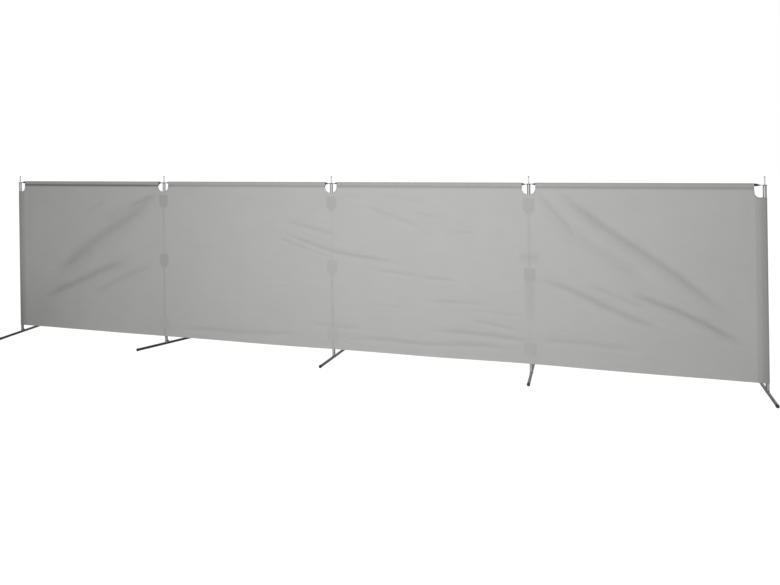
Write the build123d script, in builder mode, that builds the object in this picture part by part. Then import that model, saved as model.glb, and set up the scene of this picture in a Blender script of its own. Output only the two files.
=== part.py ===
from build123d import *
from math import pi
import os

os.makedirs("parts", exist_ok=True)

# A row of cloth bays on steel poles, in millimetres. X runs along the row, the cloth hangs on the
# -Y side of the poles, and the feet stand on Z = 0. The middle pole's axis is the origin.
bay_length = 1600
bay_count = 4
rod_height = 1430
cloth_bottom = 65

# How far a foot is turned from square to the cloth, in degrees. The others stand square.
foot_turns = {1: 4, 2: -23, 4: 3, 5: 3}

# Pole: a straight tube with a closed top, and the stud on it that carries the eyes of the rods.
pole_diameter = 25
pole_wall = 1.0
cap_thickness = 3
pin_diameter = 8
pin_root_step = 0.25
pin_rise = 60
pin_chamfer = 1.2

# Top rod: a tube with both ends crushed flat into an eye. Halfway along the crush it has lost the
# given share of its height, and the crush starts a hair inside the tube's surface.
rod_diameter = 19
rod_wall = 1.0
eye_play = 0.25
eye_reach = 17
eye_corner = 11
flat_start = 22
crush_margin = 1
crush_half_way = 0.45
crush_inset = 0.05
eye_gap = 0.2

# Foot: a bar with an upright stub, which narrows to a spigot inside the pole, and plugs with a
# tapered nose in the bar's ends.
foot_half_length = 290
bar_diameter = 22
bar_wall = 1.2
end_plug_lip = 1.5
end_plug_collar = 9
end_plug_nose = 10
end_plug_tip_radius = 6
end_plug_stem = 20
end_plug_play = 0.1
stub_height = 150
spigot_length = 80
spigot_play = 0.15
spigot_chamfer = 1
gusset_clearance = 9.5
gusset_length = 40
gusset_thickness = 3

# Cloth, drawn thicker than the real one, with the play that it has round poles and rods.
cloth = 1.5
pole_play = 0.5
rod_play = 0.4
hem_depth = 30
hem_seam = 3
panel_gap = 8
sleeve_width = 65
sleeve_seam = 4
end_cut_half_width = 75
end_cut_depth = 86
end_cut_radius = 40
inner_cut_half_width = 55
inner_cut_depth = 75
inner_cut_flat = 5

# Loops that hold the inner poles: one under the rods, one over the cloth's lower edge, and one
# near the middle between them.
top_loop_drop = 153
bottom_loop_rise = 128
middle_loop_lift = 19
loop_height = 95
loop_half_width = 26
patch_half_width = 44

# Sizes that follow from those above.
pole_radius = pole_diameter / 2
pole_bore_radius = pole_radius - pole_wall
rod_radius = rod_diameter / 2
eye_thickness = 2 * rod_wall
eye_step = eye_thickness + eye_gap
eye_width = pi / 2 * (rod_diameter - eye_thickness) + eye_thickness
pole_top = rod_height - eye_gap - eye_thickness / 2 - eye_step / 2
pin_radius = pin_diameter / 2
pin_root_radius = pin_radius + pin_root_step
eye_hole_radius = pin_root_radius + eye_play
crush_end = inner_cut_half_width - crush_margin
bar_radius = bar_diameter / 2
plug_radius = bar_radius + end_plug_lip
bar_axis = plug_radius
bar_crown = bar_axis + bar_radius
gusset_top = cloth_bottom - gusset_clearance
bar_half_length = foot_half_length - end_plug_collar - end_plug_nose
sleeve_radius = pole_radius + pole_play + cloth
hem_radius = rod_radius + rod_play + cloth
cloth_y = cloth / 2 - sleeve_radius
cloth_back = cloth - sleeve_radius
slit = 0.2
cut_top = 40
panel_edge = patch_half_width + panel_gap
inner_cut_radius = inner_cut_half_width - inner_cut_flat
top_loop = rod_height - top_loop_drop
bottom_loop = cloth_bottom + bottom_loop_rise
middle_loop = (top_loop + bottom_loop) / 2 + middle_loop_lift
pole_numbers = range(1, bay_count + 2)
bay_numbers = range(1, bay_count + 1)


def pole_x(number):
    """Where a pole stands along the row."""
    return bay_length * (number - 1 - bay_count / 2)


def write(part, label):
    """Name a finished piece and write it to its own file."""
    part.label = label
    export_step(part, f"parts/{label}.step")


def make_pole():
    """The tube, from the foot's shoulder up, with the disc that closes its top."""
    with BuildPart() as pole:
        with BuildSketch(Plane.XY.offset(stub_height)):
            Circle(pole_radius)
        extrude(amount=pole_top - stub_height)
        with BuildSketch(Plane.XY.offset(stub_height)):
            Circle(pole_bore_radius)
        extrude(amount=pole_top - cap_thickness - stub_height, mode=Mode.SUBTRACT)
    return pole.part


def make_pole_pin():
    """The stud on the pole's top: a root that carries the rod eyes, and the pin above them."""
    root_top = pole_top + 2 * eye_step + eye_gap
    pin_top = rod_height + pin_rise
    with BuildPart() as pin:
        with BuildSketch(Plane.XZ):
            with BuildLine():
                Polyline(
                    (0, pole_top),
                    (pin_root_radius, pole_top),
                    (pin_root_radius, root_top),
                    (pin_radius, root_top),
                    (pin_radius, pin_top - pin_chamfer),
                    (pin_radius - pin_chamfer, pin_top),
                    (0, pin_top),
                    close=True,
                )
            make_face()
        revolve(axis=Axis.Z)
    return pin.part


def make_foot():
    """Bar, upright stub with its spigot, and the small gusset behind the stub."""
    spigot_radius = pole_bore_radius - spigot_play
    with BuildPart() as foot:
        with BuildSketch(Plane.XZ):
            with Locations((0, bar_axis)):
                Circle(bar_radius)
        extrude(amount=bar_half_length, both=True)
        with BuildSketch(Plane.XY.offset(bar_axis)):
            Circle(pole_radius)
        extrude(amount=stub_height - bar_axis)
        with BuildSketch(Plane.XY.offset(stub_height)):
            Circle(spigot_radius)
        extrude(amount=spigot_length)
        chamfer(foot.edges().group_by(Axis.Z)[-1], spigot_chamfer)
        with BuildSketch(Plane.YZ):
            with BuildLine():
                Polyline(
                    (pole_radius - pole_wall, bar_axis),
                    (pole_radius + gusset_length, bar_axis),
                    (pole_radius + gusset_length, bar_crown),
                    (pole_radius - pole_wall, gusset_top),
                    close=True,
                )
            make_face()
        extrude(amount=gusset_thickness / 2, both=True)
        with BuildSketch(Plane.XZ):
            with Locations((0, bar_axis)):
                Circle(bar_radius - bar_wall)
        extrude(amount=bar_half_length, both=True, mode=Mode.SUBTRACT)
    return foot.part


def make_foot_plugs():
    """The two plugs in the bar's ends, on whose collars the foot stands."""
    stem_radius = bar_radius - bar_wall - end_plug_play
    collar_end = bar_half_length + end_plug_collar
    with BuildPart() as plugs:
        with BuildSketch(Plane.YZ):
            with BuildLine():
                Polyline(
                    (collar_end + end_plug_nose, bar_axis),
                    (bar_half_length - end_plug_stem, bar_axis),
                    (bar_half_length - end_plug_stem, bar_axis + stem_radius),
                    (bar_half_length, bar_axis + stem_radius),
                    (bar_half_length, bar_axis + plug_radius),
                    (collar_end, bar_axis + plug_radius),
                    (collar_end + end_plug_nose, bar_axis + end_plug_tip_radius),
                    close=True,
                )
            make_face()
        revolve(axis=Axis((0, 0, bar_axis), (0, 1, 0)))
        mirror(about=Plane.XZ)
    return plugs.part


def make_rod(left_offset, right_offset):
    """A top rod, whose eyes lie above or below its axis by the given offsets."""
    with BuildPart() as rod:
        with BuildSketch(Plane.YZ.offset(crush_end)):
            with Locations((0, rod_height)):
                Circle(rod_radius)
                Circle(rod_radius - rod_wall, mode=Mode.SUBTRACT)
        extrude(amount=bay_length - 2 * crush_end)
        for x_of, offset in (
            (lambda reach: reach, left_offset),
            (lambda reach: bay_length - reach, right_offset),
        ):
            with BuildSketch(Plane.YZ.offset(x_of(crush_end))):
                with Locations((0, rod_height)):
                    SlotOverall(rod_diameter - crush_inset, rod_diameter - 2 * crush_inset)
            for reach, squeeze in (((crush_end + flat_start) / 2, crush_half_way), (flat_start, 1)):
                height = rod_diameter + (eye_thickness - rod_diameter) * squeeze
                with BuildSketch(Plane.YZ.offset(x_of(reach))):
                    with Locations((0, rod_height + offset * squeeze)):
                        SlotOverall(pi / 2 * (rod_diameter - height) + height, height)
            loft(ruled=True)
            with BuildSketch(Plane.XY.offset(rod_height + offset)) as eye:
                with Locations((x_of((flat_start - eye_reach) / 2), 0)):
                    Rectangle(flat_start + eye_reach, eye_width)
                fillet(eye.vertices().sort_by_distance((x_of(flat_start), 0))[-2:], eye_corner)
                with Locations((x_of(0), 0)):
                    Circle(eye_hole_radius, mode=Mode.SUBTRACT)
            extrude(amount=eye_thickness / 2, both=True)
    return rod.part


def drawn_round(radius, centre, strip, strip_centre, mode=Mode.ADD):
    """The outline of a band pulled round a circle and a flat strip."""
    with BuildSketch(mode=Mode.PRIVATE) as outline:
        with Locations(centre):
            Circle(radius)
        with Locations(strip_centre):
            Rectangle(*strip)
        make_hull()
    add(outline.sketch, mode=mode)


def cut_out(x, half_width, depth, radius):
    """The window that the cloth leaves round a pole's top."""
    with BuildSketch(Plane.XZ) as window:
        with Locations((x, rod_height + (cut_top - depth) / 2)):
            Rectangle(2 * half_width, depth + cut_top)
        fillet(window.vertices().group_by(Axis.Y)[0], radius)
    extrude(window.sketch, amount=2 * sleeve_radius, both=True, mode=Mode.SUBTRACT)


def end_sleeve(x, side):
    """The sleeve round an end pole, closed by a seam a hand's width into the panel."""
    seam_x = x + side * (sleeve_width - sleeve_seam / 2)
    void_x = x + side * (sleeve_width - sleeve_seam)
    with BuildSketch(Plane.XY.offset(cloth_bottom)) as sleeve:
        drawn_round(sleeve_radius, (x, 0), (sleeve_seam, cloth), (seam_x, cloth_y))
        drawn_round(
            sleeve_radius - cloth, (x, 0), (slit, slit), (void_x, cloth_back + slit / 2), Mode.SUBTRACT
        )
    extrude(sleeve.sketch, amount=rod_height - end_cut_depth - cloth_bottom + end_cut_radius)


def make_panel(left_end, right_end):
    """One bay's cloth, with the hem that the rod slides through and any end sleeve."""
    sleeve_end = sleeve_width - sleeve_seam
    left = sleeve_end if left_end else panel_edge
    right = bay_length - (sleeve_end if right_end else panel_edge)
    with BuildPart() as panel:
        with BuildSketch(Plane.YZ.offset(left)):
            seam_at = (cloth_y, rod_height - hem_depth)
            void_at = (cloth_back + slit / 2, rod_height - hem_depth + hem_seam)
            drawn_round(hem_radius, (0, rod_height), (cloth, hem_seam), seam_at)
            drawn_round(hem_radius - cloth, (0, rod_height), (slit, slit), void_at, Mode.SUBTRACT)
            with Locations((cloth_y, (rod_height - hem_depth + cloth_bottom) / 2)):
                Rectangle(cloth, rod_height - hem_depth - cloth_bottom)
        extrude(amount=right - left)
        for x, side, is_end in ((0, 1, left_end), (bay_length, -1, right_end)):
            if is_end:
                end_sleeve(x, side)
                cut_out(x, end_cut_half_width, end_cut_depth, end_cut_radius)
            else:
                cut_out(x, inner_cut_half_width, inner_cut_depth, inner_cut_radius)
    return panel.part


def make_pole_loops():
    """Three patches on the cloth, each with a loop behind it that the pole stands in."""
    with BuildPart() as loops:
        for level in (top_loop, middle_loop, bottom_loop):
            with BuildSketch(Plane.XY.offset(level - loop_height / 2)):
                stitched = (2 * loop_half_width, cloth)
                open_inside = (2 * (loop_half_width - sleeve_seam), slit)
                void_at = (0, cloth_back + slit / 2)
                drawn_round(sleeve_radius, (0, 0), stitched, (0, cloth_y))
                drawn_round(sleeve_radius - cloth, (0, 0), open_inside, void_at, Mode.SUBTRACT)
                with Locations((0, cloth_y)):
                    Rectangle(2 * patch_half_width, cloth)
            extrude(amount=loop_height)
    return loops.part


pole = make_pole()
pole_pin = make_pole_pin()
foot = make_foot()
foot_plugs = make_foot_plugs()
for number in pole_numbers:
    stand = Location((pole_x(number), 0, 0))
    turned = Location((pole_x(number), 0, 0), (0, 0, foot_turns.get(number, 0)))
    write(pole.moved(stand), f"pole_{number}")
    write(pole_pin.moved(stand), f"pole_pin_{number}")
    write(foot.moved(turned), f"foot_{number}")
    write(foot_plugs.moved(turned), f"foot_plugs_{number}")

# Every eye on the left end of a rod lies on the eye before it, so it stands one step higher. The
# first pole has no eye below.
for number in bay_numbers:
    first = number == 1
    last = number == bay_count
    start = Location((pole_x(number), 0, 0))
    low_eye = -eye_step / 2
    high_eye = eye_step / 2
    write(make_rod(low_eye if first else high_eye, low_eye).moved(start), f"top_rod_{number}")
    write(make_panel(first, last).moved(start), f"cloth_panel_{number}")

pole_loops = make_pole_loops()
for number in pole_numbers[1:-1]:
    write(pole_loops.moved(Location((pole_x(number), 0, 0))), f"pole_loops_{number}")
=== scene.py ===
import bmesh
import bpy
import math
from mathutils import Matrix, Vector, noise


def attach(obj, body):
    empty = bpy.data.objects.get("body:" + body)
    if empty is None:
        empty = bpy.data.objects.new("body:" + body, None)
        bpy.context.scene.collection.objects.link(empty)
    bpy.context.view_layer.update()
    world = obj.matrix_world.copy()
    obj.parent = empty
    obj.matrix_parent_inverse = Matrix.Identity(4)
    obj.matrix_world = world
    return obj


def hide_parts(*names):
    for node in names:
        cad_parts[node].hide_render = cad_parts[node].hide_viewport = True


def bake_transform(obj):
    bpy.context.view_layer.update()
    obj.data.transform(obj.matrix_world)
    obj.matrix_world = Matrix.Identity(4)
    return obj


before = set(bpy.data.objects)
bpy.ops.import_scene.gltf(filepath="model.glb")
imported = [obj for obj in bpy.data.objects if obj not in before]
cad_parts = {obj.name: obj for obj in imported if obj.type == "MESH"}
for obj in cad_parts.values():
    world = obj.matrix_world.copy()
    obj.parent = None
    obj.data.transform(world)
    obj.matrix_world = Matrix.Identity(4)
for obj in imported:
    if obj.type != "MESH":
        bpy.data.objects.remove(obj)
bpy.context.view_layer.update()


# The camera stands in front of the row, right of its middle and at eye height, and looks level.
# The horizon lies in the upper part of the picture, so the lens is shifted down.
camera_place = (2.34, -5.60, 1.755)
picture_width = 780
picture_height = 585
focal_length_px = 739.5
horizon_px = 142.8
camera_yaw = math.radians(18.10)
camera_roll = math.radians(0.83)

camera_data = bpy.data.cameras.new("camera")
camera_data.sensor_width = 36
camera_data.lens = camera_data.sensor_width * focal_length_px / picture_width
camera_data.shift_y = (horizon_px - picture_height / 2) / picture_width
camera = bpy.data.objects.new("camera", camera_data)
camera.location = camera_place
level = Matrix.Rotation(camera_yaw, 3, "Z") @ Matrix.Rotation(math.pi / 2, 3, "X")
camera.rotation_euler = (level @ Matrix.Rotation(-camera_roll, 3, "Z")).to_euler()
bpy.context.scene.collection.objects.link(camera)
bpy.context.scene.camera = camera
bpy.context.scene.view_settings.view_transform = "Standard"


# The studio: a white sweep seen as plain white, lit evenly, and one large soft box in front of
# the middle of the row, so that both far ends of the cloth fall off into softer light. A second
# one, higher and behind, lights the back of the cloth and the poles.
def linear(code):
    """An sRGB hex colour as the linear values that shaders take."""
    shares = [int(code[i : i + 2], 16) / 255 for i in (1, 3, 5)]
    return (*(s / 12.92 if s <= 0.04045 else ((s + 0.055) / 1.055) ** 2.4 for s in shares), 1)


def add(tree, kind, inputs=None, **settings):
    """A node with its settings, and each input set to a value or linked to an output."""
    made = tree.nodes.new(kind)
    for name, value in settings.items():
        setattr(made, name, value)
    for socket, value in (inputs or {}).items():
        if isinstance(value, bpy.types.NodeSocket):
            tree.links.new(value, made.inputs[socket])
        else:
            made.inputs[socket].default_value = value
    return made


def seen_directly(tree):
    """1 for a ray that shows the surroundings, straight, mirrored or through glass."""
    path = add(tree, "ShaderNodeLightPath")
    mirrored = add(
        tree,
        "ShaderNodeMath",
        {0: path.outputs["Is Camera Ray"], 1: path.outputs["Is Glossy Ray"]},
        operation="MAXIMUM",
    )
    through = {0: mirrored.outputs[0], 1: path.outputs["Is Transmission Ray"]}
    return add(tree, "ShaderNodeMath", through, operation="MAXIMUM").outputs[0]


sky_level = 0.43
world = bpy.data.worlds.new("white_studio")
bpy.context.scene.world = world
world.use_nodes = True
world.node_tree.nodes.clear()
lit = add(world.node_tree, "ShaderNodeBackground", {"Color": linear("#ffffff"), "Strength": sky_level})
shown = add(world.node_tree, "ShaderNodeBackground", {"Color": linear("#ffffff"), "Strength": 1})
either = add(
    world.node_tree,
    "ShaderNodeMixShader",
    {0: seen_directly(world.node_tree), 1: lit.outputs[0], 2: shown.outputs[0]},
)
add(world.node_tree, "ShaderNodeOutputWorld", {"Surface": either.outputs[0]})

# White painted plywood under the feet, which keeps only the softest part of the shadows.
floor_reach = 30
floor_glow = 1.15
floor_white_share = 0.86
painted_floor = bpy.data.materials.new("white_painted_floor")
painted_floor.use_nodes = True
tree = painted_floor.node_tree
tree.nodes.clear()
paint = add(tree, "ShaderNodeBsdfDiffuse", {"Color": linear("#e9e9e9")})
glow = add(tree, "ShaderNodeEmission", {"Color": linear("#ffffff"), "Strength": floor_glow})
share = add(
    tree, "ShaderNodeMath", {0: seen_directly(tree), 1: floor_white_share}, operation="MULTIPLY"
)
both = add(
    tree, "ShaderNodeMixShader", {0: share.outputs[0], 1: paint.outputs[0], 2: glow.outputs[0]}
)
add(tree, "ShaderNodeOutputMaterial", {"Surface": both.outputs[0]})
shape = bmesh.new()
bmesh.ops.create_grid(shape, x_segments=1, y_segments=1, size=floor_reach)
floor_mesh = bpy.data.meshes.new("floor")
shape.to_mesh(floor_mesh)
shape.free()
floor_mesh.materials.append(painted_floor)
floor = bpy.data.objects.new("floor", floor_mesh)
bpy.context.scene.collection.objects.link(floor)


def soft_box(name, place, target, size, watts):
    """A rectangular soft box that faces its target."""
    data = bpy.data.lights.new(name, "AREA")
    data.shape = "RECTANGLE"
    data.size, data.size_y = size
    data.energy = watts
    lamp = bpy.data.objects.new(name, data)
    lamp.location = place
    lamp.rotation_euler = (Vector(target) - Vector(place)).to_track_quat("-Z", "Y").to_euler()
    bpy.context.scene.collection.objects.link(lamp)


soft_box("key", place=(0.80, -4.0, 2.0), target=(0.75, 0, 0.8), size=(2.8, 1.7), watts=107)
soft_box("back_light", place=(-0.4, 3.6, 3.3), target=(0, 0, 0.6), size=(3.4, 1.4), watts=80)


# The cloth: one length of grey polyester, plain woven and lightly coated, sewn into a hem that
# the four top rods slide through and into a sleeve round each end pole. Its pull between the
# poles leaves long slanting folds in the end bays and short creases in the middle ones.
bay_length = 1.600
half_row = 2 * bay_length
rod_height = 1.430
cut_bottom = 0.065
hem_seam = 1.400
cloth_middle_y = -0.01375
cloth_thickness = 0.0009
hem_radius = 0.01065
sleeve_radius = 0.01375
sleeve_seam = 0.063
row_step = 0.008
fine_step = 0.004
hair = 0.0001
front_rows = round((hem_seam - cut_bottom) / row_step)

# The cut-outs at the poles: half the width, half the flat bottom, the radius of the bottom's
# corners, and the height at which the corners meet the upright sides.
inner_cut = (0.050, 0.005, 0.045, rod_height - 0.030)
end_cut = (0.067, 0.027, 0.040, rod_height - 0.046)

# The cloth's lower edge: how far the slack lifts it, how much more it does at the fourth pole and
# less towards the last one, and how far it waves.
edge_lift = 0.012
fourth_pole_lift = 0.0055
last_pole_drop = 0.003
edge_wave = 0.0015


def eased(share):
    """0 to 1 with a level start and end."""
    share = min(max(share, 0), 1)
    return share * share * (3 - 2 * share)


def along_belt(seam, centre, radius, distance):
    """A point on a band that leaves a seam, goes round a bar and comes back to the seam.
    It turns clockwise, seen with the first coordinate to the right and the second up."""
    away = Vector(centre) - Vector(seam)
    straight = math.sqrt(away.length**2 - radius**2)
    bearing = math.atan2(away.y, away.x)
    spread = math.asin(radius / away.length)
    arc = radius * (math.pi + 2 * spread)
    if distance < straight:
        first = bearing + spread
        return Vector(seam) + distance * Vector((math.cos(first), math.sin(first)))
    if distance < straight + arc:
        turn = bearing + spread + math.pi / 2 - (distance - straight) / radius
        return Vector(centre) + radius * Vector((math.cos(turn), math.sin(turn)))
    back = distance - straight - arc
    last = bearing - spread
    square = last - math.pi / 2
    from_bar = Vector(centre) + radius * Vector((math.cos(square), math.sin(square)))
    return from_bar - back * Vector((math.cos(last), math.sin(last)))


def belt_length(seam, centre, radius):
    """How much cloth goes round the bar from the seam back to the seam."""
    away = (Vector(centre) - Vector(seam)).length
    return 2 * math.sqrt(away**2 - radius**2) + radius * (math.pi + 2 * math.asin(radius / away))


def from_cut(x, z):
    """How far a point of the cloth lies from the nearest cut-out, and how far along its edge."""
    number = min(max(round(x / bay_length), -2), 2)
    half_width, flat, radius, arc_top = end_cut if abs(number) == 2 else inner_cut
    aside = abs(x - number * bay_length)
    if z > arc_top:
        return aside - half_width, flat + radius * math.pi / 2 + z - arc_top
    if aside > flat:
        turn = math.atan2(aside - flat, arc_top - z)
        return math.hypot(aside - flat, arc_top - z) - radius, flat + radius * turn
    return arc_top - radius - z, aside


def cloth_bottom(x):
    """The bottom edge, which the slack lifts above its cut, most of all at the fourth pole."""
    at_fourth_pole = math.exp(-(((x - bay_length) / 0.9) ** 2))
    lift = edge_lift + fourth_pole_lift * at_fourth_pole - last_pole_drop * eased(x - 2.2)
    return cut_bottom + lift + edge_wave * math.sin(4.3 * x + 1)


def cut_height(x, number):
    """The height of the cloth's top edge at a point in a pole's cut-out."""
    half_width, flat, radius, arc_top = end_cut if abs(number) == 2 else inner_cut
    aside = abs(x - number * bay_length)
    if aside <= flat:
        return arc_top - radius
    if aside < half_width - hair:
        return min(arc_top - math.sqrt(radius**2 - (aside - flat) ** 2), hem_seam)
    return hem_seam


# Each fold, placed on the photograph: where it starts and ends, how far its middle rises
# above a straight line, its half width, its depth into the cloth, and how much painted shade
# darkens it along its bottom. A ridge rises beside each one, and none of them runs quite straight.
ridge_share = 0.6
fold_wander = 0.006
fine_wander = 0.0012
folds = [
    ((-2.86, 0.49), (-1.64, 1.27), 0.045, 0.056, 0.0120, 0.22),
    ((-2.30, 1.03), (-1.66, 1.31), 0.020, 0.040, 0.0045, 0.08),
    ((-2.00, 1.18), (-1.64, 1.33), 0.010, 0.020, 0.0040, 0.12),
    ((-2.44, 1.15), (-2.22, 1.26), 0.005, 0.020, 0.0034, 0.08),
    ((-2.80, 0.60), (-2.30, 0.80), 0.020, 0.040, 0.0040, 0.05),
    ((-2.40, 0.38), (-1.66, 0.72), 0.010, 0.030, 0.0055, 0.12),
    ((-2.98, 0.30), (-1.96, 0.71), 0.030, 0.034, 0.0095, 0.26),
    ((-0.50, 1.03), (0.66, 0.79), -0.045, 0.017, 0.0050, 0.16),
    ((-0.52, 0.98), (-0.18, 0.88), -0.010, 0.016, 0.0034, 0.09),
    ((-0.46, 1.10), (0.08, 1.00), 0.012, 0.018, 0.0036, 0.10),
    ((-0.30, 0.90), (0.02, 0.83), 0.000, 0.014, 0.0030, 0.07),
    ((-0.27, 0.28), (0.28, 0.255), 0.000, 0.018, 0.0032, 0.08),
    ((0.25, 1.24), (0.78, 1.08), 0.010, 0.022, 0.0040, 0.09),
    ((0.42, 1.33), (0.86, 1.29), 0.000, 0.018, 0.0030, 0.06),
    ((0.05, 1.34), (0.34, 1.31), 0.000, 0.014, 0.0026, 0.06),
    ((0.36, 0.725), (0.75, 0.700), 0.004, 0.012, 0.0036, 0.13),
    ((0.72, 0.705), (1.06, 0.675), 0.000, 0.014, 0.0034, 0.10),
    ((0.74, 0.515), (1.28, 0.500), 0.004, 0.014, 0.0032, 0.10),
    ((0.98, 1.055), (1.22, 1.045), 0.000, 0.012, 0.0028, 0.08),
    ((0.66, 1.200), (0.94, 1.170), 0.004, 0.013, 0.0028, 0.07),
    ((1.10, 0.455), (1.58, 0.430), 0.003, 0.011, 0.0026, 0.07),
    ((0.30, 0.455), (0.62, 0.440), 0.000, 0.012, 0.0026, 0.07),
    ((1.13, 0.375), (1.55, 0.325), 0.000, 0.015, 0.0034, 0.10),
    ((0.80, 0.29), (1.67, 0.26), -0.006, 0.018, 0.0048, 0.15),
    ((1.60, 0.265), (2.42, 0.245), 0.000, 0.020, 0.0036, 0.10),
    ((1.64, 1.38), (1.96, 1.00), -0.010, 0.028, 0.0050, 0.13),
    ((1.88, 1.09), (2.46, 0.68), -0.020, 0.050, 0.0060, 0.07),
    ((1.74, 1.39), (3.04, 0.46), 0.008, 0.032, 0.0100, 0.24),
    ((1.63, 0.735), (2.58, 0.36), 0.002, 0.026, 0.0075, 0.20),
    ((2.00, 0.69), (2.46, 0.53), 0.004, 0.018, 0.0038, 0.10),
    ((2.28, 0.655), (3.10, 0.30), 0.016, 0.024, 0.0085, 0.27),
    ((-1.56, 0.150), (-0.22, 0.172), -0.004, 0.019, 0.0042, 0.12),
    ((0.04, 0.172), (1.56, 0.193), -0.006, 0.018, 0.0042, 0.13),
]


def fold_marks(x, z):
    """How far the folds push the cloth back at a point, and how much painted shade they lay on it."""
    depth = dark = 0
    for (x0, z0), (x1, z1), bow, width, deep, shade in folds:
        share = (x - x0) / (x1 - x0)
        if 0 < share < 1:
            slope = (z1 - z0 + 4 * bow * (1 - 2 * share)) / (x1 - x0)
            off = (z - z0 - (z1 - z0) * share - 4 * bow * share * (1 - share)) / math.hypot(1, slope)
            off += fold_wander * math.sin(8 * x + 90 * width) + fine_wander * math.sin(33 * x)
            if abs(off) < 4 * width:
                fade = eased(share * 4) * eased((1 - share) * 4)
                valley = math.exp(-((off / width) ** 2) / 2)
                ridge = math.exp(-(((off + 2.1 * width) / (1.2 * width)) ** 2) / 2)
                shaded = math.exp(-(((off - 0.45 * width) / (0.6 * width)) ** 2) / 2)
                depth += deep * fade * (valley - ridge_share * ridge)
                dark += shade * fade * shaded
    return depth, dark


# The slack's slow waves and the creases from the bag: how far each moves the cloth, in metres.
long_billow = 0.0030
short_billow = 0.0016
soft_crumple = 0.0011
keen_crumple = 0.0040


def billow(x, z):
    """The slow waves that the slack between the poles leaves."""
    along = math.sin(2.1 * x + 0.7) * math.sin(3.3 * z + 0.4) + 0.6 * math.sin(5.3 * x - 3.1 * z)
    short = 0.35 * math.sin(11.0 * x + 7.0 * z + 1.0) + 0.25 * math.sin(17.0 * z - 6.0 * x)
    return long_billow * along + short_billow * short


def crumple(x, z):
    """The short level creases where the cloth was folded for its bag, mostly near the middle."""
    share = 0.25 + 0.75 * math.exp(-(((x - 0.55) / 0.85) ** 2))
    soft = noise.noise(Vector((x * 4.1, z * 15, 2.7)))
    line = noise.noise(Vector((x * 4.7 + 5, z * 19 + 2 * x, 9.1)))
    keen = max(0, 1 - abs(line) / 0.16) * max(0, noise.noise(Vector((x * 3.1, z * 6.3, 4.4))) - 0.02)
    return share * (soft_crumple * soft + keen_crumple * keen)


# The hem's seam and the sleeves hold the cloth flat, and it stays clear of the poles behind it.
calm_reach = 0.10
sleeve_reach = 0.07
pole_clear = 0.016
pole_reach = 0.06
forward = 0.002


def cloth_set_back(x, z):
    """How far the cloth lies behind its flat plane, never so far that it meets a pole."""
    to_pole = abs(x - bay_length * round(x / bay_length))
    calm = eased((hem_seam - z) / calm_reach) * eased((half_row - sleeve_reach - abs(x)) / calm_reach)
    depth = (fold_marks(x, z)[0] + billow(x, z) + crumple(x, z) - forward) * calm
    return depth if depth < 0 else depth * eased((to_pole - pole_clear) / pole_reach)


# How strongly each inner pole's shadow is painted on the thin cloth, above and below its middle
# loop, and how much painted shade darkens the cloth in a band below the fourth pole's middle loop,
# where it is gathered at the fourth pole, where the end sleeves double it and turn away, and low
# down at the far left, where the light falls off.
pole_shadow_strength = {-1: (0.18, 0.24), 0: (0.06, 0.20), 1: (0.17, 0.04)}
pole_shadow_width = 0.011
band_painted_shade = 0.11
gathered_painted_shade = 0.13
sleeve_painted_shade = 0.17
turned_away_shade = 0.26
far_left_dark = 0.24


def cloth_painted_shade(x, z, on_sleeve=False):
    """How much painted shade darkens the cloth: folds, pole shadows, gathers, sleeves, far left."""
    number = round(x / bay_length)
    aside = abs(x - number * bay_length)
    dark = fold_marks(x, z)[1] * (1 if z < hem_seam else 0)
    if abs(number) < 2 and z < hem_seam:
        above = eased((z - 0.72) / 0.1)
        upper, lower = pole_shadow_strength[number]
        uneven = 0.75 + 0.5 * noise.noise(Vector((number, 3.0, z * 6)))
        strength = (upper * above + lower * (1 - above)) * uneven
        dark += strength * math.exp(-((aside / pole_shadow_width) ** 2)) * eased((1.34 - z) / 0.05)
    if number == 1:
        band = eased((0.042 - aside) / 0.012) * eased((0.80 - z) / 0.1) * eased((z - 0.35) / 0.2)
        gathered = eased((0.088 - aside) / 0.04) * math.exp(-(((z - 0.885) / 0.034) ** 2))
        dark += band_painted_shade * band + gathered_painted_shade * gathered
    from_end = half_row - abs(x)
    dark += sleeve_painted_shade * (1 if on_sleeve else eased((0.066 - from_end) / 0.012))
    dark += turned_away_shade * eased((0.048 - from_end) / 0.04)
    dark += far_left_dark * eased((-2.3 - x) / 0.9) * eased((0.80 - z) / 0.7)
    return dark


# The weave's real sizes in metres. The threads are 0.4 mm apart, drawn three times as coarse to
# show. A cut-out's edge is turned in 10 mm wide, and stitched 8 mm from the fold.
thread_spacing = 0.0012
wave_period = 2 * math.pi / 20
streak_length = 0.3333
streak_spacing = 0.00909
cloud_size = 0.2
crease_length = 0.2
crease_spacing = 0.0667
turned_in = 0.0102
# The rim along the fold is painted lighter, a painted highlight.
rolled_rim = 0.0022
stitch_line = 0.0078
stitch_width = 0.0005
stitch_length = 0.0038
stitch_share = 0.7


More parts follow.
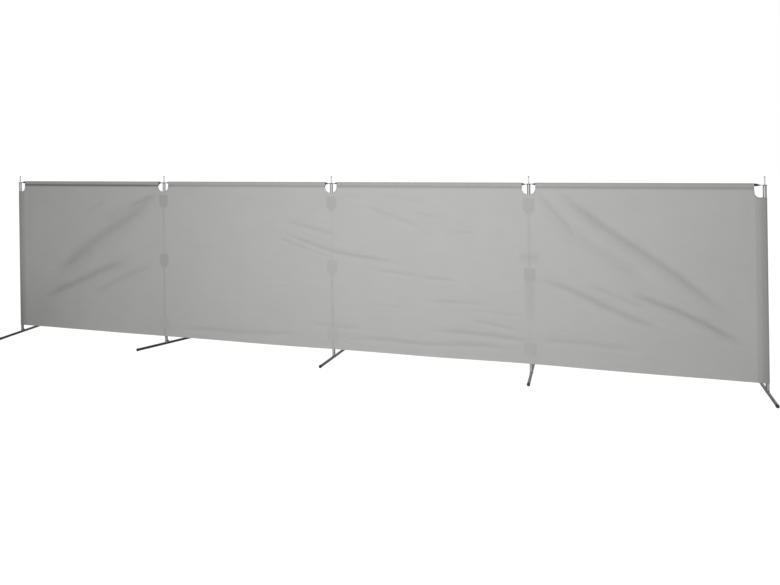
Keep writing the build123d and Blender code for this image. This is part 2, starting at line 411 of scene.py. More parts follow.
def woven_polyester(name, code):
    """Plain woven, lightly coated polyester. Matt, a little soft at grazing angles, with the
    threads just showing close up and slight streaks where the yarn varies."""
    made = bpy.data.materials.new(name)
    made.use_nodes = True
    tree = made.node_tree
    tree.nodes.clear()
    flat = add(tree, "ShaderNodeUVMap", uv_map="flat").outputs["UV"]
    dark = add(tree, "ShaderNodeAttribute", attribute_name="dark").outputs["Fac"]
    edge = add(tree, "ShaderNodeAttribute", attribute_name="from_cut").outputs["Fac"]
    along = add(tree, "ShaderNodeAttribute", attribute_name="along_cut").outputs["Fac"]
    threads = [
        add(
            tree,
            "ShaderNodeTexWave",
            {"Vector": flat, "Scale": wave_period / thread_spacing, "Distortion": 0.6, "Detail": 1},
            bands_direction=way,
        ).outputs["Fac"]
        for way in "XY"
    ]
    weave = add(
        tree, "ShaderNodeMath", {0: threads[0], 1: threads[1]}, operation="MULTIPLY"
    ).outputs[0]
    stretched = add(
        tree,
        "ShaderNodeMapping",
        {"Vector": flat, "Scale": (1 / streak_length, 1 / streak_spacing, 1)},
    ).outputs[0]
    streaks = add(
        tree, "ShaderNodeTexNoise", {"Vector": stretched, "Scale": 1, "Detail": 3}
    ).outputs["Fac"]
    clouds = add(
        tree, "ShaderNodeTexNoise", {"Vector": flat, "Scale": 1 / cloud_size, "Detail": 3}
    ).outputs["Fac"]
    crumpled = add(
        tree,
        "ShaderNodeMapping",
        {"Vector": flat, "Scale": (1 / crease_length, 1 / crease_spacing, 1)},
    ).outputs[0]
    creases = add(
        tree,
        "ShaderNodeTexNoise",
        {"Vector": crumpled, "Scale": 1, "Detail": 4, "Roughness": 0.55, "Distortion": 0.5},
    ).outputs["Fac"]

    turned_band = add(
        tree,
        "ShaderNodeMapRange",
        {"Value": edge, "From Min": turned_in, "From Max": turned_in - 0.0010},
    ).outputs[0]
    rim_highlight = add(
        tree,
        "ShaderNodeMapRange",
        {"Value": edge, "From Min": rolled_rim, "From Max": rolled_rim - 0.0008},
    ).outputs[0]
    stitch = add(
        tree, "ShaderNodeMath", {0: along, 1: stitch_length}, operation="MODULO"
    ).outputs[0]
    dash = add(
        tree, "ShaderNodeMath", {0: stitch, 1: stitch_share * stitch_length}, operation="LESS_THAN"
    ).outputs[0]
    on_line = add(
        tree, "ShaderNodeMath", {0: edge, 1: stitch_line, 2: stitch_width}, operation="COMPARE"
    ).outputs[0]
    stitches = add(
        tree, "ShaderNodeMath", {0: dash, 1: on_line}, operation="MULTIPLY"
    ).outputs[0]

    # How much each mark darkens the cloth, and how far it stands out of it in metres.
    darker = 0.0
    # The dark attribute and the turned-in band's second layer darken the cloth as painted shade; the
    # rolled rim is lightened as a painted highlight.
    for mark, weight in (
        (dark, 0.62),
        (turned_band, 0.05),
        (rim_highlight, -0.16),
        (stitches, 0.10),
        (weave, 0.07),
        (streaks, 0.05),
        (clouds, 0.06),
    ):
        inputs = {0: mark, 1: weight, 2: darker}
        darker = add(tree, "ShaderNodeMath", inputs, operation="MULTIPLY_ADD").outputs[0]
    raised = 0.0
    for mark, height in (
        (weave, 0.00014),
        (creases, 0.0030),
        (turned_band, 0.0004),
        (stitches, 0.0003),
    ):
        inputs = {0: mark, 1: height, 2: raised}
        raised = add(tree, "ShaderNodeMath", inputs, operation="MULTIPLY_ADD").outputs[0]
    hue = add(
        tree,
        "ShaderNodeMix",
        {"Factor": darker, "A": linear(code), "B": linear("#2b2b2c")},
        data_type="RGBA",
    )
    bump = add(tree, "ShaderNodeBump", {"Height": raised, "Distance": 1, "Strength": 1})
    shader = add(
        tree,
        "ShaderNodeBsdfPrincipled",
        {
            "Base Color": hue.outputs["Result"],
            "Roughness": 0.78,
            "IOR": 1.5,
            "Specular IOR Level": 0.25,
            "Sheen Weight": 0.06,
            "Sheen Roughness": 0.5,
            "Normal": bump.outputs[0],
        },
    )
    add(tree, "ShaderNodeOutputMaterial", {"Surface": shader.outputs[0]})
    return made


grey_polyester = woven_polyester("grey_woven_polyester", "#b6b6b4")


def columns(left, right):
    """Places across a sheet, 8 mm apart, and 4 mm where a pole's cut-out and seams are near."""
    fine_reach = 0.10
    smallest_step = 0.0005
    places = [left]
    while places[-1] < right - smallest_step:
        near = abs(places[-1] - bay_length * round(places[-1] / bay_length)) < fine_reach
        places.append(min(places[-1] + (fine_step if near else row_step), right))
    return places


def sheet_piece(name, material, flat_columns, flat_rows, placed, kept=None):
    """A sheet of cloth: a grid whose columns and rows are put where the placing says.
    Its border is sharp, so that neighbouring sheets meet without a shaded line."""
    across = len(flat_columns) - 1
    up = len(flat_rows) - 1
    shape = bmesh.new()
    bmesh.ops.create_grid(shape, x_segments=across, y_segments=up, size=0.5)
    uv = shape.loops.layers.uv.new("flat")
    layers = [shape.verts.layers.float.new(title) for title in ("dark", "from_cut", "along_cut")]
    flat = {}
    cell = {}
    for vertex in shape.verts:
        column = round((vertex.co.x + 0.5) * across)
        row = round((vertex.co.y + 0.5) * up)
        cell[vertex] = (column, row)
        place, flat[vertex], marks = placed(flat_columns[column], flat_rows[row])
        vertex.co = place
        for layer, mark in zip(layers, marks):
            vertex[layer] = mark
    if kept:
        gone = []
        for face in shape.faces:
            middle_across = sum(flat_columns[cell[v][0]] for v in face.verts) / 4
            middle_up = sum(flat_rows[cell[v][1]] for v in face.verts) / 4
            if not kept(middle_across, middle_up):
                gone.append(face)
        bmesh.ops.delete(shape, geom=gone, context="FACES")
    for face in shape.faces:
        face.smooth = True
        for loop in face.loops:
            loop[uv].uv = flat[loop.vert]
    for edge in shape.edges:
        edge.smooth = not edge.is_boundary
    mesh = bpy.data.meshes.new(name)
    shape.to_mesh(mesh)
    shape.free()
    mesh.materials.append(material)
    piece = bpy.data.objects.new(name, mesh)
    bpy.context.scene.collection.objects.link(piece)
    walls = piece.modifiers.new("cloth_thickness", "SOLIDIFY")
    walls.thickness = cloth_thickness
    walls.offset = 0
    walls.use_even_offset = False
    return piece


# Rows go up the front in equal shares, then round the rod in 4 mm steps and down to the seam.
# The hem carries painted shade, and a painted shadow line along its seam and just below it, most
# of all in the first bay. Its second layer lies 1 mm behind the first.
hem_centre = (0, rod_height)
hem_start = (cloth_middle_y, hem_seam)
hem_length = belt_length(hem_start, hem_centre, hem_radius)
hem_rows = round(hem_length / fine_step)
hem_painted_shade = 0.20
seam_painted_shadow = 0.28
first_bay_seam_shadow = 0.62
below_seam_painted_shadow = 0.26
first_bay_below_shadow = 0.40
second_layer = 0.0010
layer_run = 0.03
rows = [row / front_rows for row in range(front_rows + 1)]
rows += [1 + row / hem_rows for row in range(1, hem_rows + 1)]

# Past the sleeve's seam a column goes round the end pole and comes back to the seam behind it.
sleeve_start = (sleeve_seam, cloth_middle_y)
sleeve_length = belt_length(sleeve_start, (0, 0), sleeve_radius)
sleeve_line = half_row - sleeve_seam
sleeve_steps = 46


def on_bay(across, up):
    """Where a point of a bay's cloth lies, its place on the flat cloth, and its marks."""
    x = across
    y = cloth_middle_y
    side = 1 if across > 0 else -1
    on_sleeve = abs(across) > sleeve_line
    if on_sleeve:
        gone = abs(across) - sleeve_line
        from_pole, y = along_belt(sleeve_start, (0, 0), sleeve_radius, min(gone, sleeve_length))
        x = side * (half_row - from_pole)
        y += second_layer * eased((gone - sleeve_length / 2) / layer_run)
    top = cut_height(x, side * 2) if half_row - abs(x) < end_cut[0] - hair else hem_seam
    low = cloth_bottom(x)
    z = low + (top - low) * min(up, 1)
    in_first_bay = eased((-1.4 - x) / 0.4)
    if up > 1:
        distance = (up - 1) * hem_length
        y, z = along_belt(hem_start, hem_centre, hem_radius, distance)
        y += second_layer * eased((distance - hem_length / 2) / layer_run)
        # The hem's painted shade, and a painted shadow line along its seam.
        line = math.exp(-(((distance - 0.006) / 0.009) ** 2))
        dark = (seam_painted_shadow + first_bay_seam_shadow * in_first_bay) * line + hem_painted_shade
        return (x, y, z), (across, hem_seam + distance), (dark, *from_cut(x, max(z, hem_seam + 0.006)))
    if not on_sleeve:
        y += cloth_set_back(x, z)
    # A painted shadow line just below the hem's seam, added to the cloth's painted shade.
    line = math.exp(-(((hem_seam - z) / 0.007) ** 2))
    dark = cloth_painted_shade(x, z, on_sleeve) + (below_seam_painted_shadow + first_bay_below_shadow * in_first_bay) * line
    return (x, y, z), (across, z), (dark, *from_cut(x, z))


def above_a_cut(across, up):
    """True where the cloth is whole: no hem over an end pole's cut-out."""
    return up < 1 or half_row - abs(across) > end_cut[0] - hair


for number in range(1, 5):
    left = (number - 3) * bay_length + inner_cut[0]
    right = (number - 2) * bay_length - inner_cut[0]
    if number == 1:
        places = [
            -sleeve_line - sleeve_length * (1 - step / sleeve_steps) for step in range(sleeve_steps)
        ]
        places += [-sleeve_line]
        places += columns(-(half_row - end_cut[0]), right)
    elif number == 4:
        places = columns(left, half_row - end_cut[0])
        places += [sleeve_line]
        places += [
            sleeve_line + sleeve_length * step / sleeve_steps for step in range(1, sleeve_steps + 1)
        ]
    else:
        places = columns(left, right)
    is_end = number in (1, 4)
    piece = sheet_piece(
        f"cloth_{number}",
        grey_polyester,
        places,
        rows,
        on_bay,
        above_a_cut if is_end else None,
    )
    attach(piece, f"bay_{number}")
    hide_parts(f"cloth_panel_{number}")


# The cloth in front of each inner pole, between the two bays beside it. Its top edge is cut out
# in a U, turned in 10 mm wide and stitched.
strip_steps = 28
for number in (-1, 0, 1):
    x = number * bay_length
    half = inner_cut[0]

    def before_pole(across, up):
        low = cloth_bottom(across)
        z = low + (cut_height(across, number) - low) * up
        mark = (cloth_painted_shade(across, z), *from_cut(across, z))
        return (across, cloth_middle_y + cloth_set_back(across, z), z), (across, z), mark

    piece = sheet_piece(
        f"cloth_at_pole_{number + 3}",
        grey_polyester,
        [x - half + 2 * half * step / strip_steps for step in range(strip_steps + 1)],
        rows[: front_rows + 1],
        before_pole,
    )
    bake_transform(piece)


# Each inner pole is held by three loops sewn behind the cloth, and a patch in front of it spreads
# each loop's pull. Patches and loops are the cloth's own polyester in two layers, darkened with
# painted shade.
patch_half_width = 0.044
patch_height = 0.095
taper = 0.026
taper_start = 0.012
taper_share = 0.62
patch_thickness = 0.0010
patch_fade = 0.010
patch_stitch_shift = 0.0044
loop_stitch_shift = 0.003
loop_painted_shade = 0.10
patch_columns = 18
patch_rows = 20
loop_columns = 36
loop_rows = 14
loop_heights = (1.277, 0.754, 0.193)
tapered = {2: (True, True, False), 3: (True, True, False), 4: (True, False, False)}
loop_seam = 0.026
loop_start_y = -0.01285
loop_reach = math.hypot(loop_seam, loop_start_y)
loop_straight = math.sqrt(loop_reach**2 - sleeve_radius**2)
loop_turn = math.acos(sleeve_radius / loop_reach) - math.atan2(-loop_start_y, loop_seam)
loop_arc = sleeve_radius * (math.pi - 2 * loop_turn)
loop_length = 2 * loop_straight + loop_arc
doubled_polyester = woven_polyester("doubled_woven_polyester", "#b6b6b4")

# How much painted shade darkens each patch against the single cloth round it, from the top down.
patch_painted_shade = {2: (0.24, 0.24, 0.07), 3: (0.17, 0.12, 0.06), 4: (0.17, 0.20, 0.09)}


def on_loop(distance):
    """A point on a loop that leaves one seam, goes round behind the pole and ends at the other."""
    if distance > loop_length / 2:
        x, y = on_loop(loop_length - distance)
        return -x, y
    turn = Vector((math.cos(loop_turn), math.sin(loop_turn))) * sleeve_radius
    if distance < loop_straight:
        start = Vector((loop_seam, loop_start_y))
        return tuple(start.lerp(turn, distance / loop_straight))
    angle = loop_turn + (distance - loop_straight) / sleeve_radius
    return sleeve_radius * math.cos(angle), sleeve_radius * math.sin(angle)


for number in (2, 3, 4):
    x = (number - 3) * bay_length
    for level, height in enumerate(loop_heights):
        low = height - patch_height / 2 - (taper if tapered[number][level] else 0)
        high = height + patch_height / 2

        def on_front(across, up):
            z = low + (high - low) * up
            below = height - patch_height / 2 + taper_start - z
            narrow = eased(below / (taper + taper_start)) if tapered[number][level] else 0
            half = patch_half_width * (1 - taper_share * narrow)
            place = x + across * half
            y = cloth_middle_y + cloth_set_back(place, z) - patch_thickness
            edge = min(half * (1 - abs(across)), z - low, high - z)
            # Painted shade over the patch, fading in from its edge.
            patch_shade_here = patch_painted_shade[number][level] * eased(edge / patch_fade)
            return (place, y, z), (place, z), (patch_shade_here, edge + patch_stitch_shift, place + z)

        patch = sheet_piece(
            f"patch_{number}_{level + 1}",
            doubled_polyester,
            [2 * step / patch_columns - 1 for step in range(patch_columns + 1)],
            [step / patch_rows for step in range(patch_rows + 1)],
            on_front,
        )
        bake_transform(patch)

        def behind(across, up):
            place, y = on_loop(across)
            z = height + patch_height * (up - 0.5)
            edge = min(patch_height * min(up, 1 - up), across, loop_length - across)
            # The loops behind the pole carry painted shade as well.
            mark = (loop_painted_shade, edge + loop_stitch_shift, across + z)
            return (x + place, y, z), (x + across, z), mark

        loop = sheet_piece(
            f"loop_{number}_{level + 1}",
            doubled_polyester,
            [loop_length * step / loop_columns for step in range(loop_columns + 1)],
            [step / loop_rows for step in range(loop_rows + 1)],
            behind,
        )
        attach(loop, "bay_2" if number < 4 else "bay_3")
        if level == 0:
            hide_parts(f"pole_loops_{number}")


# The top rods: 19 mm steel tube with a blackened finish, whose ends are crushed flat in a press
# and drilled, so that two rods' ends lie on one pin. The finish is darkest where it is crushed.
rod_radius = 0.0095
eye_thickness = 0.0028
eye_width = 0.0287
eye_reach = 0.017
eye_corner = 0.011
flat_start = 0.022
crush_end = 0.054
crush_length = crush_end - flat_start
crush_curve = 1.3
crush_dent = 0.0016
eye_step = 0.0022
eye_squareness = 0.45
eye_row_step = 0.0011
eye_rows = 13
crush_rows = 16
round_start = 0.07
rod_sides = 40

# The steel's real sizes in metres: dull patches 22 mm apart, and the depth of the drawn lines.
patch_spacing = 0.0222
line_depth = 0.00006


def steel(
    name, code, mark_code, roughness, lines, marks, metallic=1.0, grazing_shade_tint="#ffffff", shine=0.5, worn=None
):
    """Drawn steel tube under a thin finish: fine lines along its length, dull patches, and marks where
    it was crushed or handled; on the foot frames, painted light. A dark grazing tint paints shade on
    the sides. The lines are given by their spacing on each axis."""
    made = bpy.data.materials.new(name)
    made.use_nodes = True
    tree = made.node_tree
    tree.nodes.clear()
    place = add(tree, "ShaderNodeTexCoord").outputs["Object"]
    per_metre = tuple(1 / spacing for spacing in lines)
    drawn_out = add(tree, "ShaderNodeMapping", {"Vector": place, "Scale": per_metre}).outputs[0]
    drawn = add(
        tree, "ShaderNodeTexNoise", {"Vector": drawn_out, "Scale": 1, "Detail": 3}
    ).outputs["Fac"]
    dull = add(
        tree, "ShaderNodeTexNoise", {"Vector": place, "Scale": 1 / patch_spacing, "Detail": 4}
    ).outputs["Fac"]
    stain_and_painted_light = add(
        tree,
        "ShaderNodeMapRange",
        {"Value": dull, "From Min": 0.45, "From Max": 0.75, "To Max": marks},
    ).outputs[0]
    if worn:
        stain_and_painted_light = add(
            tree, "ShaderNodeMath", {0: stain_and_painted_light, 1: worn(tree, place)}, operation="MAXIMUM"
        ).outputs[0]
    hue = add(
        tree,
        "ShaderNodeMix",
        {"Factor": stain_and_painted_light, "A": linear(code), "B": linear(mark_code)},
        data_type="RGBA",
    )
    rough = add(
        tree,
        "ShaderNodeMapRange",
        {"Value": drawn, "To Min": roughness - 0.07, "To Max": roughness + 0.09},
    )
    bump = add(tree, "ShaderNodeBump", {"Height": drawn, "Distance": line_depth, "Strength": 0.6})
    # The specular tint, where dark, paints shade on the sides seen at grazing angles.
    shader = add(
        tree,
        "ShaderNodeBsdfPrincipled",
        {
            "Base Color": hue.outputs["Result"],
            "Metallic": metallic,
            "Roughness": rough.outputs[0],
            "Specular IOR Level": shine,
            "Specular Tint": linear(grazing_shade_tint),
            "Normal": bump.outputs[0],
        },
    )
    add(tree, "ShaderNodeOutputMaterial", {"Surface": shader.outputs[0]})
    return made


def to_nearest_pole(tree, place, start, end):
    """A share that goes from 0 to 1 between two distances from the nearest pole, along the row."""
    split = add(tree, "ShaderNodeSeparateXYZ", {"Vector": place}).outputs["X"]
    away = add(tree, "ShaderNodeMath", {0: split, 1: bay_length}, operation="PINGPONG")
    near = add(tree, "ShaderNodeMath", {0: bay_length, 1: away.outputs[0]}, operation="SUBTRACT")
    least = add(tree, "ShaderNodeMath", {0: away.outputs[0], 1: near.outputs[0]}, operation="MINIMUM")
    return add(
        tree, "ShaderNodeMapRange", {"Value": least.outputs[0], "From Min": start, "From Max": end}
    ).outputs[0]


rod_steel = steel(
    "blackened_steel_rod",
    "#3b3c3e",
    "#0b0b0c",
    roughness=0.50,
    lines=(0.0333, 0.00111, 0.00111),
    marks=0.25,
    metallic=0.0,
    shine=0.2,
    worn=lambda tree, place: to_nearest_pole(tree, place, 0.050, 0.018),
)


def finished(shape, name, material):
    """Turns a bmesh into a piece: smooth, with edges over 35 degrees kept sharp."""
    for face in shape.faces:
        face.smooth = True
    for edge in shape.edges:
        edge.smooth = edge.is_manifold and edge.calc_face_angle(0) < math.radians(35)
    mesh = bpy.data.meshes.new(name)
    shape.to_mesh(mesh)
    shape.free()
    mesh.materials.append(material)
    piece = bpy.data.objects.new(name, mesh)
    bpy.context.scene.collection.objects.link(piece)
    return piece


def rod_section(x, offset):
    """Half width, half height and centre height of a rod's section at a distance from its pole."""
    crush = (1 - min(max((x - flat_start) / crush_length, 0), 1)) ** crush_curve
    half_height = rod_radius + (eye_thickness / 2 - rod_radius) * crush
    half_width = rod_radius + (eye_width / 2 - rod_radius) * crush
    past = eye_corner - eye_reach - x
    if past > 0:
        half_width -= eye_corner - math.sqrt(max(eye_corner**2 - past**2, 0))
    return half_width, half_height, rod_height + offset * crush


for number in range(1, 5):
    start = (number - 3) * bay_length
    offsets = (-eye_step / 2 if number == 1 else eye_step / 2, -eye_step / 2)
    end_places = [-eye_reach + eye_row_step * step**1.25 for step in range(eye_rows)]
    end_places += [flat_start + crush_length * step / crush_rows for step in range(crush_rows + 1)]
    end_places += [round_start]
    places = end_places + [bay_length - place for place in reversed(end_places)]
    shape = bmesh.new()
    bmesh.ops.create_grid(shape, x_segments=len(places) - 1, y_segments=rod_sides, size=0.5)
    for vertex in shape.verts:
        place = places[round((vertex.co.x + 0.5) * (len(places) - 1))]
        turn = 2 * math.pi * (vertex.co.y + 0.5)
        at_left = place < bay_length / 2
        reach = place if at_left else bay_length - place
        half_width, half_height, middle = rod_section(reach, offsets[0 if at_left else 1])
        flatness = 1 - half_height / rod_radius
        squared = 1 - eye_squareness * flatness
        across = math.copysign(abs(math.cos(turn)) ** squared, math.cos(turn))
        upward = math.copysign(abs(math.sin(turn)) ** squared, math.sin(turn))
        dent = crush_dent * math.sin(math.pi * flatness) ** 2 * max(math.sin(turn), 0) ** 3
        vertex.co = (start + place, half_width * across, middle + half_height * upward - dent)
    bmesh.ops.remove_doubles(shape, verts=shape.verts, dist=0.00001)
    bmesh.ops.holes_fill(shape, edges=[edge for edge in shape.edges if edge.is_boundary], sides=0)
    bmesh.ops.recalc_face_normals(shape, faces=shape.faces)
    rod = finished(shape, f"rod_{number}", rod_steel)
    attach(rod, f"bay_{number}")
    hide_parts(f"top_rod_{number}")


# The five poles: 25 mm galvanised steel tube, cut square, its top closed by a pressed-in disc.
# Each slides down over the spigot of its foot.
pole_radius = 0.0125
pole_bore_radius = 0.0115
pole_foot = 0.150
pole_top = 1.4277
cap_thickness = 0.003
# Its dark specular tint paints shade along the tube's sides.
galvanised_tube = steel(
    "galvanised_steel_tube",
    "#939495",
    "#6e6f71",
    roughness=0.34,
    lines=(0.00111, 0.00111, 0.0714),
    marks=0.5,
    grazing_shade_tint="#2c2d2e",
)


def turned(shape, profile, steps=48, place=None):
    """Spins a profile of (radius, height) pairs round the Z axis into a shape, and places it."""
    points = [shape.verts.new((radius, 0, height)) for radius, height in profile]
    lines = [shape.edges.new(pair) for pair in zip(points, points[1:])]
    known = set(shape.faces)
    bmesh.ops.spin(
        shape,
        geom=points + lines,
        cent=(0, 0, 0),
        axis=(0, 0, 1),
        angle=2 * math.pi,
        steps=steps,
        use_merge=True,
    )
    faces = [face for face in shape.faces if face not in known]
    made = list({vertex for face in faces for vertex in face.verts})
    bmesh.ops.remove_doubles(shape, verts=made, dist=0.000001)
    faces = [face for face in shape.faces if face not in known]
    made = list({vertex for face in faces for vertex in face.verts})
    bmesh.ops.recalc_face_normals(shape, faces=faces)
    if place is not None:
        bmesh.ops.transform(shape, matrix=place, verts=made)


for number in range(1, 6):
    shape = bmesh.new()
    tube = [
        (0, pole_top),
        (pole_bore_radius - 0.0001, pole_top),
        (pole_bore_radius + 0.0001, pole_top - 0.0004),
        (pole_radius - 0.0005, pole_top - 0.0001),
        (pole_radius, pole_top - 0.0007),
        (pole_radius, pole_foot + 0.0008),
        (pole_radius - 0.0005, pole_foot),
        (pole_bore_radius, pole_foot),
        (pole_bore_radius, pole_top - cap_thickness),
        (0, pole_top - cap_thickness),
    ]
    turned(shape, tube, steps=64, place=Matrix.Translation(((number - 3) * bay_length, 0, 0)))
    pole = finished(shape, f"pole_tube_{number}", galvanised_tube)
    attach(pole, f"post_{number}")
    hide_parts(f"pole_{number}")


# The pins: 8 mm bright steel studs welded to the poles' tops, with a slightly wider root that
# holds the rods' eyes. Their rounded tips are dull from handling.
pin_radius = 0.004
pin_root_step = 0.00025
pin_root_top = 1.4323
pin_top = 1.490
# Its dark specular tint paints shade along the pin's sides.
bright_pin = steel(
    "bright_zinc_plated_pin",
    "#97989a",
    "#5c5d5f",
    roughness=0.30,
    lines=(0.00167, 0.00167, 0.04),
    marks=0.3,
    grazing_shade_tint="#4a4b4d",
    worn=lambda tree, place: add(
        tree,
        "ShaderNodeMapRange",
        {
            "Value": add(tree, "ShaderNodeSeparateXYZ", {"Vector": place}).outputs["Z"],
            "From Min": pin_top - 0.016,
            "From Max": pin_top - 0.009,
            "To Max": 0.8,
        },
    ).outputs[0],
)
for number in range(1, 6):
    shape = bmesh.new()
    stud = [
        (0, pole_top),
        (pin_radius + 0.0012, pole_top),
        (pin_radius + 0.0009, pole_top + 0.0006),
        (pin_radius + pin_root_step, pole_top + 0.0010),
        (pin_radius + pin_root_step, pin_root_top - 0.0002),
        (pin_radius, pin_root_top),
        (pin_radius, pin_top - 0.0030),
        (pin_radius - 0.0004, pin_top - 0.0015),
        (pin_radius - 0.0012, pin_top - 0.0005),
        (pin_radius - 0.0024, pin_top - 0.0001),
        (0, pin_top),
    ]
    turned(shape, stud, steps=32, place=Matrix.Translation(((number - 3) * bay_length, 0, 0)))
    pin = finished(shape, f"pin_{number}", bright_pin)
    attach(pin, f"post_{number}")
    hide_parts(f"pole_pin_{number}")


# The feet: a 22 mm bar across the row with a stub and spigot welded upright on its middle, a small
# gusset plate behind the stub, and one coat of dark powder over all. The coat is painted pale along
# the top of the bar, as painted light, and on one side of the stub, as painted light and shade.
foot_turns = {1: 4, 2: -23, 3: 0, 4: 3, 5: 3}
bar_radius = 0.011
bar_bore_radius = 0.0098
bar_axis = 0.0125
bar_half_length = 0.271
spigot_radius = 0.01135
spigot_top = 0.230
spigot_chamfer = 0.001
gusset_start = 0.0115
gusset_reach = 0.032
gusset_top = 0.043
gusset_edge = 0.0235
gusset_thickness = 0.003
gusset_bevel = 0.0005
bead_radius = 0.0019
bead_flatness = 0.9
bead_ripple = 0.16

# How far the painted light reaches: on the bar's top from a height above its axis, over a narrow
# band, and on the stub a little all round and most round a bearing in degrees.
bar_top_light = 0.45
top_light_above = 0.0055
top_light_band = 0.0045
stub_lightening = 0.15
stub_lit_side = 0.85
lit_side_bearings = {1: -112, 2: -112, 3: -112, 4: -112, 5: -54}
powder_coat_painted_light = steel(
    "black_powder_coat_painted_light",
    "#161718",
    "#a8a9aa",
    roughness=0.40,
    lines=(0.00143, 0.00143, 0.00143),
    marks=0.06,
    metallic=0.0,
    shine=0.25,
    worn=lambda tree, place: add(tree, "ShaderNodeAttribute", attribute_name="painted_light").outputs["Fac"],
)
for number in range(1, 6):
    stand = Matrix.Translation(((number - 3) * bay_length, 0, 0)) @ Matrix.Rotation(
        math.radians(foot_turns[number]), 4, "Z"
    )
    lying = Matrix.Translation((0, 0, bar_axis)) @ Matrix.Rotation(math.pi / 2, 4, "X")
    shape = bmesh.new()
    painted_light = shape.verts.layers.float.new("painted_light")
    bar = [
        (bar_bore_radius, -bar_half_length),
        (bar_radius - 0.0004, -bar_half_length),
        (bar_radius, -bar_half_length + 0.0005),
        (bar_radius, bar_half_length - 0.0005),
        (bar_radius - 0.0004, bar_half_length),
        (bar_bore_radius, bar_half_length),
        (bar_bore_radius, -bar_half_length),
    ]
    turned(shape, bar, place=stand @ lying)
    known = set(shape.verts)
    # Painted light along the bar's top.
    for vertex in known:
        above = vertex.co.z - bar_axis - top_light_above
        vertex[painted_light] = bar_top_light * eased(above / top_light_band)
    stub = [
        (0, bar_axis),
        (pole_radius, bar_axis),
        (pole_radius, pole_foot - 0.0008),
        (pole_radius - 0.0005, pole_foot),
        (spigot_radius, pole_foot),
        (spigot_radius, spigot_top - spigot_chamfer),
        (spigot_radius - spigot_chamfer, spigot_top),
        (0, spigot_top),
    ]
    turned(shape, stub, place=stand)
    # Painted light on the stub, a little all round and most on its lit side.
    for vertex in set(shape.verts) - known:
        out = vertex.co - stand.translation
        turn = math.degrees(math.atan2(out.y, out.x)) - lit_side_bearings[number]
        off_bearing = abs((turn + 180) % 360 - 180)
        vertex[painted_light] = stub_lightening + stub_lit_side * eased((95 - off_bearing) / 60)

    known = set(shape.verts)
    ring = [
        (
            pole_radius + bead_radius * math.cos(turn * math.pi / 4) * bead_flatness,
            bead_radius * math.sin(turn * math.pi / 4),
        )
        for turn in range(9)
    ]
    turned(shape, ring, steps=96)
    for vertex in set(shape.verts) - known:
        turn = math.atan2(vertex.co.y, vertex.co.x)
        saddle = bar_axis + math.sqrt(max(bar_radius**2 - vertex.co.x**2, 0))
        ripple = 1 + bead_ripple * math.sin(24 * turn)
        bulge = Vector((math.cos(turn), math.sin(turn), 0)) * pole_radius
        vertex.co = bulge + (vertex.co - bulge) * ripple + Vector((0, 0, saddle))
        vertex.co = stand @ vertex.co

    known = set(shape.faces)
    corners = (
        (gusset_start, bar_axis),
        (gusset_reach, bar_axis),
        (gusset_reach, gusset_edge),
        (gusset_start, gusset_top),
    )
    outline = [shape.verts.new((-gusset_thickness / 2, y, z)) for y, z in corners]
    side = shape.faces.new(outline)
    grown = bmesh.ops.extrude_face_region(shape, geom=[side])["geom"]
    far_corners = [part for part in grown if isinstance(part, bmesh.types.BMVert)]
    bmesh.ops.translate(shape, vec=(gusset_thickness, 0, 0), verts=far_corners)
    plate = [face for face in shape.faces if face not in known]
    bmesh.ops.recalc_face_normals(shape, faces=plate)
    bmesh.ops.bevel(
        shape,
        geom=list({edge for face in plate for edge in face.edges}),
        offset=gusset_bevel,
        segments=2,
        profile=0.5,
        affect="EDGES",
        material=-1,
    )
    plate = [face for face in shape.faces if face not in known]
    plate_corners = list({vertex for face in plate for vertex in face.verts})
    bmesh.ops.transform(shape, matrix=stand, verts=plate_corners)
    foot = finished(shape, f"foot_frame_{number}", powder_coat_painted_light)
    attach(foot, f"post_{number}")
    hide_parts(f"foot_{number}")


# The plugs: moulded black polyethylene, pushed into both ends of each bar. Their collars lift
# the bar off the ground, and their domed noses don't catch in grass or sand.
plug_radius = 0.0125
collar_end = 0.280
nose_end = 0.290
stem_length = 0.020
stem_play = 0.0001
collar_round = 0.0006

# The plastic's real sizes in metres: an eggshell grain of 0.7 mm and scuffs 6 mm apart.
eggshell_size = 0.000714
scuff_spacing = 0.00625
grain_depth = 0.00008


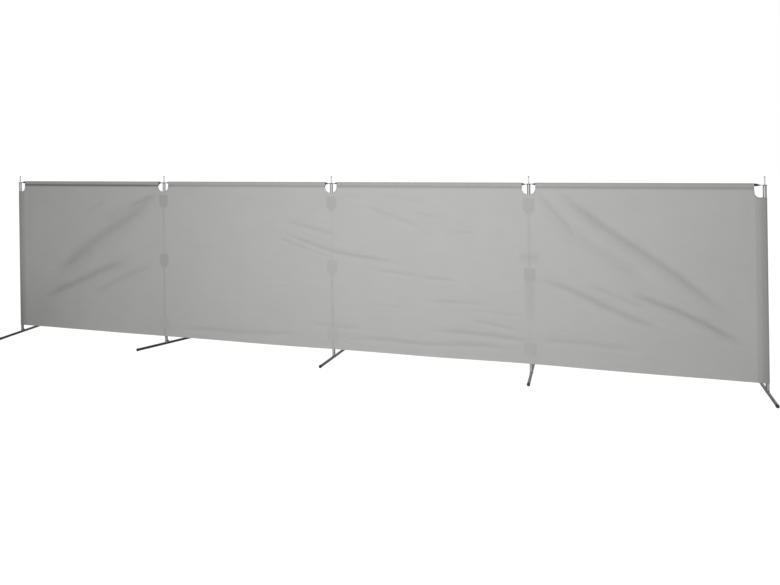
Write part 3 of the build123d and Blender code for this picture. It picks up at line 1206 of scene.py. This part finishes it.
def moulded_plastic(name, code, roughness):
    """Moulded polyethylene: even colour with a fine eggshell grain and faint scuffs."""
    made = bpy.data.materials.new(name)
    made.use_nodes = True
    tree = made.node_tree
    tree.nodes.clear()
    place = add(tree, "ShaderNodeTexCoord").outputs["Object"]
    grain = add(
        tree, "ShaderNodeTexNoise", {"Vector": place, "Scale": 1 / eggshell_size, "Detail": 2}
    ).outputs["Fac"]
    scuff = add(
        tree, "ShaderNodeTexNoise", {"Vector": place, "Scale": 1 / scuff_spacing, "Detail": 5}
    ).outputs["Fac"]
    worn = add(
        tree, "ShaderNodeMapRange", {"Value": scuff, "From Min": 0.52, "From Max": 0.70, "To Max": 0.5}
    ).outputs[0]
    hue = add(
        tree,
        "ShaderNodeMix",
        {"Factor": worn, "A": linear(code), "B": linear("#2e2e30")},
        data_type="RGBA",
    )
    rough = add(
        tree, "ShaderNodeMapRange", {"Value": scuff, "To Min": roughness, "To Max": roughness + 0.2}
    )
    bump = add(tree, "ShaderNodeBump", {"Height": grain, "Distance": grain_depth, "Strength": 0.5})
    shader = add(
        tree,
        "ShaderNodeBsdfPrincipled",
        {
            "Base Color": hue.outputs["Result"],
            "Roughness": rough.outputs[0],
            "IOR": 1.51,
            "Normal": bump.outputs[0],
        },
    )
    add(tree, "ShaderNodeOutputMaterial", {"Surface": shader.outputs[0]})
    return made


black_polyethylene = moulded_plastic("moulded_black_polyethylene", "#0c0c0d", 0.46)
for number in range(1, 6):
    stand = Matrix.Translation(((number - 3) * bay_length, 0, bar_axis)) @ Matrix.Rotation(
        math.radians(foot_turns[number]), 4, "Z"
    )
    shape = bmesh.new()
    stem_radius = bar_bore_radius - stem_play
    plug = [
        (0, bar_half_length - stem_length),
        (stem_radius, bar_half_length - stem_length),
        (stem_radius, bar_half_length),
        (plug_radius - collar_round, bar_half_length),
        (plug_radius, bar_half_length + collar_round),
        (plug_radius, collar_end - 0.0010),
        (plug_radius - 0.0004, collar_end),
    ]
    for step in range(1, 9):
        turn = math.pi / 18 * step
        out = (plug_radius - collar_round) * math.cos(turn)
        plug.append((out, collar_end + (nose_end - collar_end) * math.sin(turn)))
    plug.append((0, nose_end))
    for side in (1, -1):
        turned(shape, plug, place=stand @ Matrix.Rotation(-side * math.pi / 2, 4, "X"))
    plugs = finished(shape, f"plugs_{number}", black_polyethylene)
    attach(plugs, f"post_{number}")
    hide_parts(f"foot_plugs_{number}")
